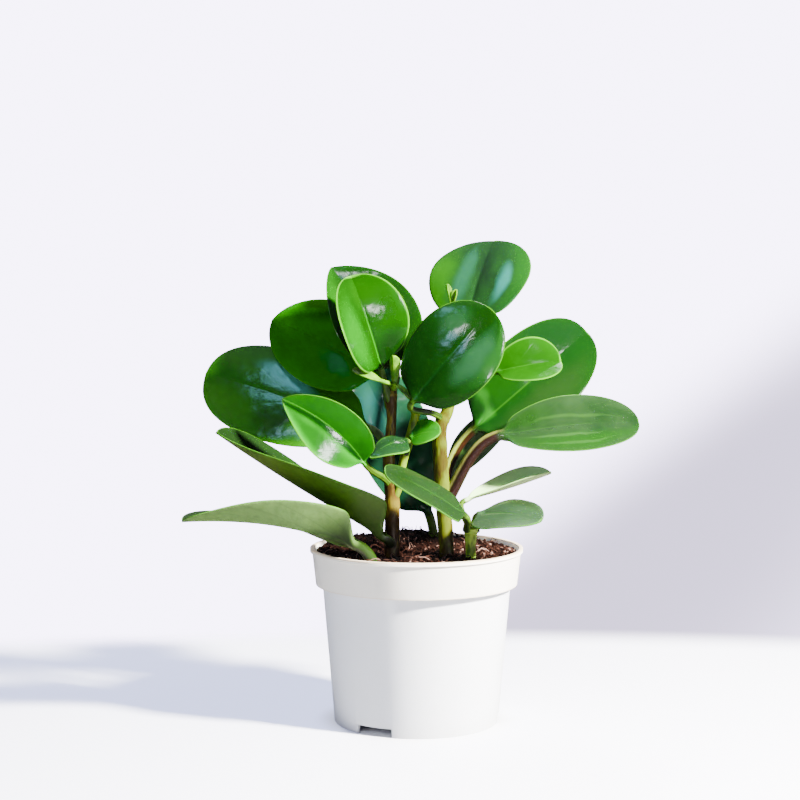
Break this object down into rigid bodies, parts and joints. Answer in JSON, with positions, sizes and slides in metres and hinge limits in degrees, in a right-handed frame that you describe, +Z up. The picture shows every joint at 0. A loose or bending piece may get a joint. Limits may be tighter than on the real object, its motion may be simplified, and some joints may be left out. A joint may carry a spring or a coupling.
{
  "type": "potted peperomia",
  "caption": "Bushy peperomia houseplant with broad glossy spoon-shaped leaves on fleshy stems, in a tapered white plastic nursery pot filled with dark soil.",
  "frame": {"origin": "centre of the pot's foot, on the surface that the pot stands on", "axes": "+Z up along the pot's axis; +X to the right and +Y away from a viewer who sees the low forked pair of leaves in front"},
  "size_m": [0.2507, 0.1227, 0.2711],
  "materials": {
    "pot_plastic": "satin",
    "soil": "matte",
    "leaf_green": "gloss",
    "young_leaf": "gloss",
    "stem_brown": "satin",
    "stem_golden": "satin",
    "stem_green": "satin",
    "shoot": "satin"
  },
  "bodies": {
    "root": {"pot": "pot_plastic", "soil": "soil", "stem_left": "stem_brown", "stem_right": "stem_golden", "stem_side": "stem_green", "stem_short": "stem_green", "shoot_left": "shoot", "shoot_right": "shoot", "leaf_top": "leaf_green", "leaf_behind_left": "leaf_green", "leaf_bright_front": "young_leaf", "leaf_upper_left": "leaf_green", "leaf_wide_left": "leaf_green", "leaf_front_left": "young_leaf", "leaf_long_left": "leaf_green", "leaf_low_left": "leaf_green", "leaf_dark_front": "leaf_green", "leaf_small_right": "young_leaf", "leaf_wide_right": "leaf_green", "leaf_far_right": "leaf_green", "leaf_inner_right": "leaf_green", "leaf_thin_right": "leaf_green", "leaf_fork_left": "leaf_green", "leaf_fork_right": "leaf_green", "leaf_tongue": "young_leaf", "leaf_young_front": "young_leaf", "leaf_tall_back": "leaf_green"}
  },
  "joints": []
}
